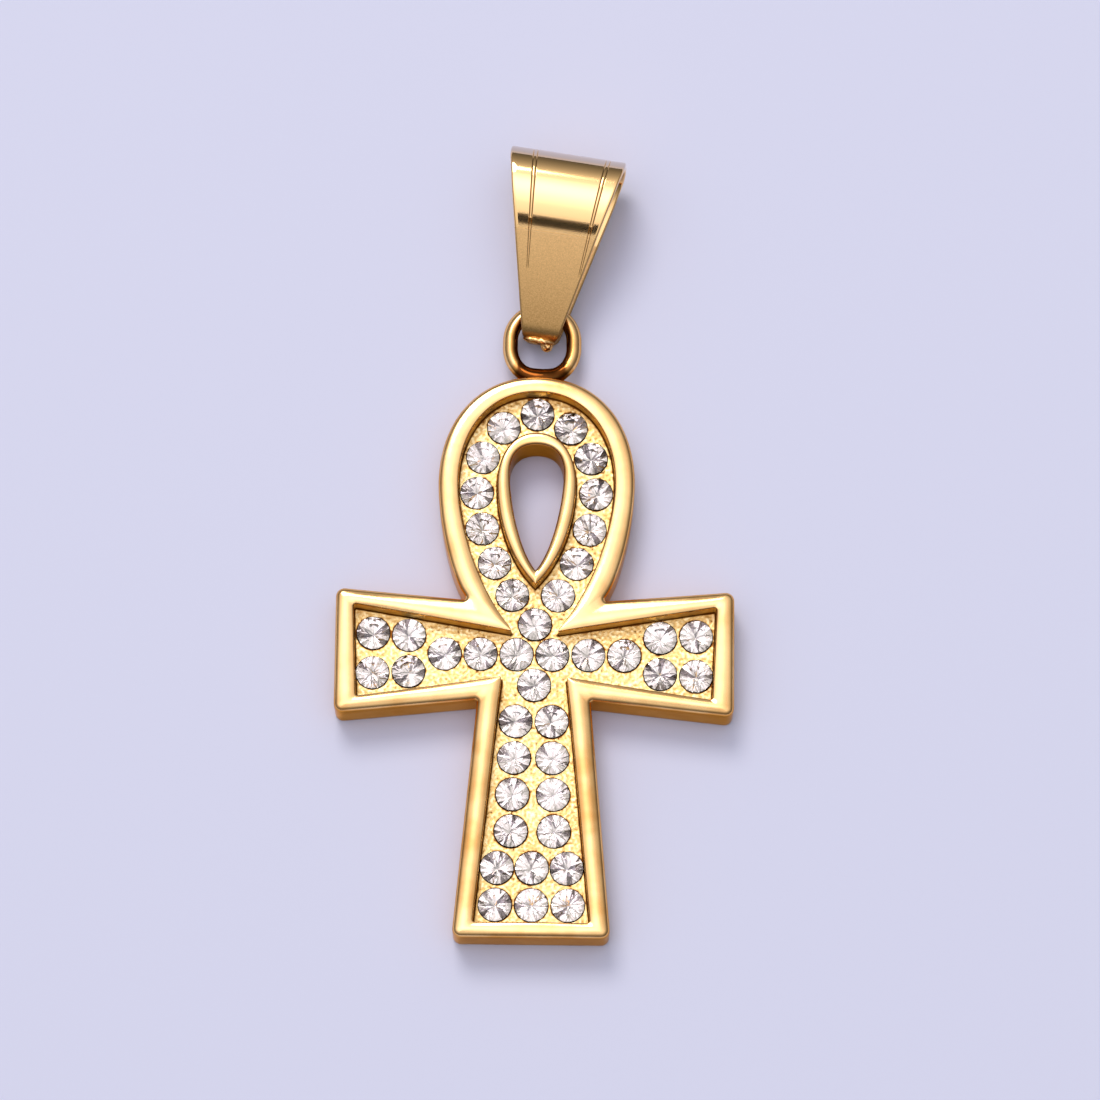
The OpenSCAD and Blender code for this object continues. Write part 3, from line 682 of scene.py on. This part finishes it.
def cut_stone(name, seed, collection):
    chance = np.random.default_rng(seed)
    half = math.pi / FACETS
    star_r = (TABLE_R + STAR_SHARE * (STONE_R - TABLE_R)) / math.cos(half)
    star_z = GIRDLE + CROWN * (STONE_R - star_r * math.cos(half)) / (STONE_R - TABLE_R)
    low_r = STONE_R * LOW_SHARE
    low_z = -PAVILION * (STONE_R - low_r * math.cos(half)) / (STONE_R - CULET_R)
    n = FACETS
    points = np.vstack([
        ring_of(TABLE_R, GIRDLE + CROWN, 0, n), ring_of(star_r, star_z, half, n),
        ring_of(STONE_R, GIRDLE, 0, 2 * n), ring_of(STONE_R, 0, 0, 2 * n),
        ring_of(low_r, low_z, half, n), ring_of(CULET_R, -PAVILION, 0, n)])
    points[6 * n:7 * n] += chance.normal(0, LOW_JITTER, (n, 3))
    points[7 * n:] += chance.normal(0, CULET_JITTER, 3)
    points[n:2 * n] += chance.normal(0, STAR_JITTER, (n, 3))
    star, top, foot, low, culet = n, 2 * n, 4 * n, 6 * n, 7 * n
    faces, foiled, tones = [], [], []
    for i in range(n):
        j, h, g = (i + 1) % n, (i - 1) % n, 2 * i
        g1, g2 = g + 1, (g + 2) % (2 * n)
        crown = [(i, star + i, j), (i, star + h, top + g, star + i), (star + i, top + g, top + g1),
            (star + i, top + g1, top + g2), (top + g, foot + g, foot + g1, top + g1),
            (top + g1, foot + g1, foot + g2, top + g2)]
        pavilion = [(foot + g, low + i, foot + g1), (foot + g1, low + i, foot + g2),
            (foot + g, low + h, culet + i, low + i), (culet + i, culet + j, low + i)]
        faces += crown + pavilion
        foiled += [False] * len(crown) + [True] * len(pavilion)
        # Painted reflections on the foil: a few facets dark, the rest light with a random tone
        painted_foil_tones = np.where(chance.random(4) < PAINTED_DARK_SHARE, PAINTED_DARK_TONE, chance.uniform(0.75, 1.0, 4))
        tones += [1.0] * len(crown) + [*painted_foil_tones]
    faces += [tuple(range(n)), tuple(culet + i for i in range(n))]
    foiled += [False, True]
    tones += [1.0, PAINTED_CULET_TONE]
    mesh = bpy.data.meshes.new(name)
    mesh.from_pydata([tuple(p * MM) for p in points], [], faces)
    mark = mesh.attributes.new("foiled", "BOOLEAN", "FACE")
    mark.data.foreach_set("value", foiled)
    tone = mesh.attributes.new("tone", "FLOAT", "FACE")
    tone.data.foreach_set("value", tones)
    body = bmesh.new()
    body.from_mesh(mesh)
    bmesh.ops.recalc_face_normals(body, faces=body.faces)
    body.to_mesh(mesh)
    body.free()
    collection.objects.link(bpy.data.objects.new(name, mesh))


# %% Set the stones with Geometry Nodes
STONE_LIFT = 0.06
STONE_TILT, STONE_SEED = math.radians(3.0), 11
crystal, foil = foiled_crystal()
cuts = bpy.data.collections.new("cut stones")
bpy.context.scene.collection.children.link(cuts)
for number in range(CUTS):
    cut_stone("cut_" + str(number), number, cuts)

points_mesh = bpy.data.meshes.new("stone_points")
points_mesh.from_pydata([(x * MM, y * MM, (FLOOR + STONE_LIFT) * MM) for x, y in stone_places], [], [])
stones = bpy.data.objects.new("stone_points", points_mesh)
bpy.context.scene.collection.objects.link(stones)

setting = bpy.data.node_groups.new("set stones on points", "GeometryNodeTree")
setting.interface.new_socket("Geometry", in_out="INPUT", socket_type="NodeSocketGeometry")
setting.interface.new_socket("Cuts", in_out="INPUT", socket_type="NodeSocketCollection")
setting.interface.new_socket("Number of cuts", in_out="INPUT", socket_type="NodeSocketInt")
setting.interface.new_socket("Tilt", in_out="INPUT", socket_type="NodeSocketFloat")
setting.interface.new_socket("Seed", in_out="INPUT", socket_type="NodeSocketInt")
setting.interface.new_socket("Geometry", in_out="OUTPUT", socket_type="NodeSocketGeometry")
given = add_node(setting, "NodeGroupInput").outputs
less = add_node(setting, "ShaderNodeMath", {"operation": "MULTIPLY", 1: -1.0}, _0=given["Tilt"]).outputs[0]
low_turn = add_node(setting, "ShaderNodeCombineXYZ", {"Z": 0.0}, X=less, Y=less).outputs[0]
high_turn = add_node(setting, "ShaderNodeCombineXYZ", {"Z": 2 * math.pi},
    X=given["Tilt"], Y=given["Tilt"]).outputs[0]
turned = add_node(setting, "FunctionNodeRandomValue", {"data_type": "FLOAT_VECTOR"},
    Min=low_turn, Max=high_turn, Seed=given["Seed"])
picked = add_node(setting, "GeometryNodeCollectionInfo", {"Separate Children": True, "Reset Children": True},
    Collection=given["Cuts"])
last_cut = add_node(setting, "ShaderNodeMath", {"operation": "SUBTRACT", 1: 1.0},
    _0=given["Number of cuts"])
which = add_node(setting, "FunctionNodeRandomValue", {"data_type": "INT"},
    Seed=given["Seed"], _5=last_cut.outputs[0])
placed = add_node(setting, "GeometryNodeInstanceOnPoints", {"Pick Instance": True},
    Points=given["Geometry"], Instance=picked.outputs[0], Instance_Index=which.outputs[2],
    Rotation=turned.outputs[0])
real = add_node(setting, "GeometryNodeRealizeInstances", None, Geometry=placed.outputs[0])
glazed = add_node(setting, "GeometryNodeSetMaterial", {"Material": crystal}, Geometry=real.outputs[0])
marked = add_node(setting, "GeometryNodeInputNamedAttribute", {"data_type": "BOOLEAN", "Name": "foiled"})
foiled_out = add_node(setting, "GeometryNodeSetMaterial", {"Material": foil}, Geometry=glazed.outputs[0],
    Selection=marked.outputs["Attribute"])
setting.links.new(foiled_out.outputs[0], add_node(setting, "NodeGroupOutput").inputs[0])


def set_input(modifier, name, value):
    for item in modifier.node_group.interface.items_tree:
        if item.item_type == "SOCKET" and item.in_out == "INPUT" and item.name == name:
            modifier[item.identifier] = value


def made_real(source, name):
    """The evaluated object as a plain mesh object, with the source removed."""
    evaluated = source.evaluated_get(bpy.context.evaluated_depsgraph_get())
    mesh = bpy.data.meshes.new_from_object(evaluated)
    mesh.name = name
    piece = bpy.data.objects.new(name, mesh)
    bpy.context.scene.collection.objects.link(piece)
    bpy.data.objects.remove(source)
    print(name, "has", sum(len(p.vertices) - 2 for p in mesh.polygons), "triangles")
    return piece


setter = stones.modifiers.new("setter", "NODES")
setter.node_group = setting
set_input(setter, "Cuts", cuts)
set_input(setter, "Number of cuts", CUTS)
set_input(setter, "Tilt", STONE_TILT)
set_input(setter, "Seed", STONE_SEED)
stones = made_real(stones, "set_stones")
stones.data.shade_flat()
for cut in list(cuts.objects):
    bpy.data.objects.remove(cut)
bpy.data.collections.remove(cuts)

# %% [markdown]
# ## The bail
#
# The bail is a tapered strap of sheet, folded over a mandrel so that its top is a fat roll, with its two
# ends soldered round the eyelet. It is swept here along the fold: at each step a section across the
# strap is placed square to the path. The section holds what the tool left on the sheet, two engraved
# grooves and rounded edges, and both follow the taper.

# %% The fold and the strap's taper
BAIL_LENGTH, LEG_LENGTH, LEG_H = 8.75, 4.2, 4.5
TIP_R, TIP_DROP, THICK = 1.2, 0.7, 0.36
TIP_W, STRAP_W, ROLL_W = 1.85, 5.6, 6.35
TIP_CORNER, ROLL_FULLNESS = 0.45, 0.58
GROOVE_FROM, GROOVE_IN, GROOVE_END_IN, GROOVE_SHIFT = 1.9, 1.15, 0.35, 0.2
GROOVE_W, GROOVE_END_W, GROOVE_DEPTH = 0.3, 0.1, 0.028
EDGE_R = 0.1
TIP_STEPS, LEG_STEPS, ROLL_STEPS = 12, 30, 44

tip = np.array([-TIP_DROP, 0.0])
leg_end = np.array([LEG_LENGTH, LEG_H / 2])
leg = leg_end - tip
slope = math.atan2(leg[1], leg[0]) - math.asin(TIP_R / np.linalg.norm(leg))
leg_way = np.array([math.cos(slope), math.sin(slope)])
tip_turns = math.pi - (math.pi / 2 - slope) * np.arange(TIP_STEPS) / TIP_STEPS
tip_arc = tip + TIP_R * np.stack([np.cos(tip_turns), np.sin(tip_turns)], 1)
leg_start = tip + TIP_R * np.array([-math.sin(slope), math.cos(slope)])
leg_line = leg_start + (leg_end - leg_start) * (np.arange(LEG_STEPS) / LEG_STEPS)[:, None]
handle = ROLL_FULLNESS * (BAIL_LENGTH - LEG_LENGTH)
roll = bezier(leg_end, leg_end + handle * leg_way, (BAIL_LENGTH, handle), (BAIL_LENGTH, 0), ROLL_STEPS)
front = np.vstack([tip_arc, leg_line, roll, [(BAIL_LENGTH, 0)]])
fold = np.vstack([front, front[1:-1][::-1] * (1, -1)])

strap_low = -TIP_DROP - TIP_R
bend = (BAIL_LENGTH + LEG_LENGTH) / 2


def strap_half(y):
    straight = (TIP_W + (STRAP_W - TIP_W) * (y - strap_low) / (bend - strap_low)) / 2
    t = np.clip((y - bend) / (BAIL_LENGTH - bend), 0, 1)
    widening = (ROLL_W - STRAP_W) / 2 * t * t * (3 - 2 * t) * t
    over_roll = STRAP_W / 2 + (straight - STRAP_W / 2) * (1 - t) + widening
    half = np.where(y < bend, straight, over_roll)
    low = np.clip(y - strap_low, 0, TIP_CORNER)
    return half - TIP_CORNER + np.sqrt(TIP_CORNER**2 - (TIP_CORNER - low) ** 2)


def groove_line(y):
    t = np.clip((y - GROOVE_FROM) / (BAIL_LENGTH - GROOVE_FROM), 0, 1)
    low_x = strap_half(np.array(GROOVE_FROM)) - GROOVE_END_IN
    line = low_x + (ROLL_W / 2 - GROOVE_IN - low_x) * t
    below = strap_half(y) - GROOVE_END_IN
    width = GROOVE_END_W + (GROOVE_W - GROOVE_END_W) * t
    depth = GROOVE_DEPTH * np.clip((y - GROOVE_FROM) / 0.8, 0, 1)
    shift = GROOVE_SHIFT * np.clip((y - strap_low) / (GROOVE_FROM - strap_low), 0, 1)
    return np.where(y < GROOVE_FROM, below, line), width, depth, shift


# %% Sweep the strap
FACE_STEPS = 6
# Painted shade in the grooves, on the legs and deepening towards the tip, added to the strap's base value
GROOVE_SHADE, STRAP_SHADE, LEG_SHADE, TIP_SHADE = 0.6, 0.1, 0.16, 0.3
REFLECTION_FROM, REFLECTION_FADE = 0.7, 0.3       # where the painted reflection of the paper starts before the roll's end, and its fade
REFLECTION_LOW, REFLECTION_RISE = 0.3, 0.6        # the height on the upper side where it starts, and its fade
strap = Shape()


def strap_section(y):
    """Places across the strap and depths below its outer face, once round the section."""
    half = float(strap_half(y))
    x, width, depth, shift = (float(v) for v in groove_line(y))
    left, right = -x + shift, x + shift
    edge = min(EDGE_R, THICK / 2 - 0.01)
    w = width / 2
    crossed = ((-w, 0), (-0.75 * w, depth), (-0.5 * w, 0), (0.5 * w, 0), (0.75 * w, depth), (w, 0))
    across = [(s, 0) for s in np.linspace(-half + edge, left - w - 0.02, FACE_STEPS)]
    across += [(left + s, d) for s, d in crossed]
    across += [(s, 0) for s in np.linspace(left + w + 0.02, right - w - 0.02, 2 * FACE_STEPS)]
    across += [(right + s, d) for s, d in crossed]
    across += [(s, 0) for s in np.linspace(right + w + 0.02, half - edge, FACE_STEPS)]
    arc = np.linspace(0, math.pi / 2, 4)[1:]
    right_edge = [(half - edge + edge * math.sin(a), edge - edge * math.cos(a)) for a in arc]
    right_edge += [(half - edge + edge * math.cos(a), THICK - edge + edge * math.sin(a)) for a in [0, *arc]]
    left_edge = [(-s, d) for s, d in right_edge[::-1]]
    return np.array(across + right_edge + left_edge)


ahead = np.roll(fold, -1, 0) - np.roll(fold, 1, 0)
ahead = ahead / np.linalg.norm(ahead, axis=1)[:, None]
inward = np.stack([ahead[:, 1], -ahead[:, 0]], 1)
lean = math.atan2(joint["axis"][1], joint["axis"][0])
hinge = np.array(joint["pos_m"]) / MM


def lowest(tilt):
    return (fold[:, 0] * math.sin(tilt) + fold[:, 1] * math.cos(tilt)).min()


low_tilt, high_tilt = 0.0, math.radians(30)
for _ in range(30):
    tilt = (low_tilt + high_tilt) / 2
    if hinge[2] + lowest(tilt) < 0:
        low_tilt = tilt
    else:
        high_tilt = tilt
place_bail = np.array(Matrix.Rotation(lean, 3, "Z") @ Matrix.Rotation(tilt, 3, "X"))
print("lean of the bail:", round(math.degrees(lean), 1), "tilt:", round(math.degrees(tilt), 1), "degrees")


def in_bail(points):
    return np.asarray(points) @ place_bail.T + hinge


sections = []
for (y, z), (ny, nz) in zip(fold, inward):
    section = strap_section(y)
    points = np.column_stack([section[:, 0], y + ny * section[:, 1], z + nz * section[:, 1]])
    down = float(np.clip((LEG_LENGTH - y) / (LEG_LENGTH - strap_low), 0, 1))
    # Painted reflection: a pale strip on top of the roll, towards its far end
    far = float(np.clip((y - BAIL_LENGTH + REFLECTION_FROM) / REFLECTION_FADE, 0, 1)
        * np.clip((z - REFLECTION_LOW) / REFLECTION_RISE, 0, 1))
    in_groove = (section[:, 1] > 0.005) & (section[:, 1] < THICK / 2)
    in_groove &= np.abs(section[:, 0]) < strap_half(y) - EDGE_R
    # Painted shade in the grooves, on the legs and towards the tip, less the painted reflection on the roll
    shade = GROOVE_SHADE * in_groove + STRAP_SHADE - STRAP_SHADE * far
    shade = shade + LEG_SHADE * (y < LEG_LENGTH) + TIP_SHADE * down**1.2
    sections.append(strap.add(in_bail(points), shade))
for a, b in zip(sections, sections[1:] + sections[:1]):
    strap.skin(a, b)
bail = strap.build("bail_strap", [strap_gold])
where = bail.data.attributes.new("satin", "FLOAT", "POINT")
along = np.array([v.co[:] for v in bail.data.vertices]) / MM
satin = (np.linalg.inv(place_bail) @ (along - hinge).T)[1]
where.data.foreach_set("value", np.clip((LEG_LENGTH + 0.02 - satin) / 0.06, 0, 1))

# %% [markdown]
# ### Solder at the tip
#
# The two ends of the strap are joined by solder that froze in grains: a lumpy lip along the front edge
# and one round drop that ran out to the right. A ball that is pushed in and out by a noise is enough.

# %% Lip and drop of solder
SOLDER_SHADE = 0.05


def lump(name, centre, size, grain_mm, depth, seed):
    body = bmesh.new()
    bmesh.ops.create_icosphere(body, subdivisions=4, radius=1.0)
    for v in body.verts:
        way = np.array(v.co)
        spot = way * size
        bumps = noise.fractal(Vector(spot / grain_mm) + Vector((seed, 0, 0)), 1.0, 2.0, 2)
        spot = spot + way * depth * bumps + centre
        v.co = Vector(in_bail([spot])[0] * MM)
    mesh = bpy.data.meshes.new(name)
    body.to_mesh(mesh)
    body.free()
    mesh.shade_smooth()
    shade = mesh.attributes.new("shade", "FLOAT", "POINT")
    shade.data.foreach_set("value", np.full(len(mesh.vertices), SOLDER_SHADE))
    mesh.materials.append(polished)
    piece = bpy.data.objects.new(name, mesh)
    bpy.context.scene.collection.objects.link(piece)
    return piece


lip_centre, lip_size = np.array([-0.04, strap_low + 0.2, 0.56]), np.array([0.88, 0.2, 0.36])
drop_centre, drop_size = np.array([0.42, strap_low, 0.3]), np.array([0.34, 0.34, 0.34])
solder_lip = lump("solder_lip", lip_centre, lip_size, 0.1, 0.06, 3)
solder_drop = lump("solder_drop", drop_centre, drop_size, 0.16, 0.05, 9)

# %% [markdown]
# ## Which piece stands for which solid
#
# Each piece rides on the body that carries it, and stands for the solid that it dresses.

# %% Ride and replace
for piece, body, nodes in ((ankh, "ankh", ["ankh"]), (stones, "ankh", stone_names),
        (bail, "bail", ["bail"]), (solder_lip, "bail", ["bail"]), (solder_drop, "bail", ["bail"])):
    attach(piece, body)
    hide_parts(*nodes)

# %% [markdown]
# ## Floor, light and camera
#
# The pendant lies on pale lavender paper under a wide soft light. Polished metal shows what is round it
# more than what lights it, so the world is drawn as the studio that the metal sees: bright overhead,
# darker towards the sides, and dark where the camera stands. One soft lamp draws the shadows.

# %% Paper
FLOOR_SIZE = 1.2
paper_mesh = bpy.data.meshes.new("paper")
half = FLOOR_SIZE / 2
paper_corners = [(-half, -half, 0), (half, -half, 0), (half, half, 0), (-half, half, 0)]
paper_mesh.from_pydata(paper_corners, [], [(0, 1, 2, 3)])
paper = bpy.data.objects.new("paper", paper_mesh)
bpy.context.scene.collection.objects.link(paper)
paper_finish, tree, surface, _ = new_material("matt lavender paper")
surface.inputs["Base Color"].default_value = linear("#d6d9ef")
surface.inputs["Roughness"].default_value = 0.9
surface.inputs["Specular IOR Level"].default_value = 0.1
paper_mesh.materials.append(paper_finish)

# %% Camera
FOCAL_PX, IMAGE_PX, SENSOR_MM = 5000.0, 1100.0, 36.0
PX_PER_MM = 18.4
ELEVATION, TURN = math.radians(76.0), math.radians(0.7)
TARGET = Vector((0.767, 5.958, 1.4)) * MM
back = Vector((0, -math.cos(ELEVATION), math.sin(ELEVATION)))
up = back.cross(Vector((1, 0, 0)))
right = Vector((1, 0, 0)) * math.cos(TURN) + up * math.sin(TURN)
up = -Vector((1, 0, 0)) * math.sin(TURN) + up * math.cos(TURN)
camera_data = bpy.data.cameras.new("camera")
camera_data.sensor_width = SENSOR_MM
camera_data.lens = FOCAL_PX / IMAGE_PX * SENSOR_MM
camera_data.clip_start = 0.01
camera = bpy.data.objects.new("camera", camera_data)
bpy.context.scene.collection.objects.link(camera)
rotation = Matrix((right, up, back)).transposed().to_4x4()
camera.matrix_world = Matrix.Translation(TARGET + back * (FOCAL_PX / PX_PER_MM * MM)) @ rotation
bpy.context.scene.camera = camera

# %% Studio world and lamp
SOFTBOX_WAY = Vector((-0.1, 0.04, 0.99)).normalized()
SOFTBOX = [(0, 2.7), (10, 2.2), (18, 1.45), (26, 1.08), (34, 0.78), (42, 0.56), (50, 0.4), (60, 0.28),
    (75, 0.17), (90, 0.13)]     # degrees away from the softbox's middle, and how bright it is there
COOL = (0.0, -0.05, 0.14)        # how much cooler its middle is than the rest
COOL_REACH = 34                  # degrees from its middle to where the cool tint ends
LENS_WAY = Vector((-0.11, -0.414, 0.904)).normalized()
LENS_DEG = (2.3, 2.5)


def studio_world():
    world = bpy.data.worlds.new("studio")
    world.use_nodes = True
    tree = world.node_tree
    tree.nodes.clear()
    way = add_node(tree, "ShaderNodeTexCoord").outputs["Generated"]
    overhead = add_node(tree, "ShaderNodeVectorMath", {"operation": "DOT_PRODUCT", 1: SOFTBOX_WAY}, _0=way)
    falloff = []
    for angle, value in SOFTBOX[::-1]:
        middle = max(0.0, 1 - angle / COOL_REACH)
        colour = [value / SOFTBOX[0][1] * (1 + tint * middle) for tint in COOL]
        falloff.append((math.cos(math.radians(angle)), colour))
    dome = ramp(tree, overhead.outputs["Value"], falloff, "LINEAR")
    at_lens = add_node(tree, "ShaderNodeVectorMath", {"operation": "DOT_PRODUCT", 1: LENS_WAY}, _0=way)
    near, far = (math.cos(math.radians(angle)) for angle in LENS_DEG)
    hood = add_node(tree, "ShaderNodeMapRange",
        {"From Min": far, "From Max": near, "To Min": 1.0, "To Max": 0.0}, Value=at_lens.outputs["Value"])
    strength = add_node(tree, "ShaderNodeMath", {"operation": "MULTIPLY", 1: SOFTBOX[0][1]},
        _0=hood.outputs[0])
    light = add_node(tree, "ShaderNodeBackground", None, Color=dome, Strength=strength.outputs[0])
    tree.links.new(light.outputs[0], add_node(tree, "ShaderNodeOutputWorld").inputs[0])
    return world


def soft_lamp(name, at_mm, size_mm, watts, colour):
    data = bpy.data.lights.new(name, "AREA")
    data.shape = "DISK"
    data.size = size_mm * MM
    data.energy = watts
    data.color = linear(colour)[:3]
    lamp = bpy.data.objects.new(name, data)
    lamp.location = Vector(at_mm) * MM
    lamp.rotation_euler = (-Vector(at_mm)).to_track_quat("-Z", "Y").to_euler()
    bpy.context.scene.collection.objects.link(lamp)


bpy.context.scene.world = studio_world()
soft_lamp("key", (-180, 520, 800), 420, 3.6, "#fff8f0")
bpy.context.scene.view_settings.view_transform = "Standard"
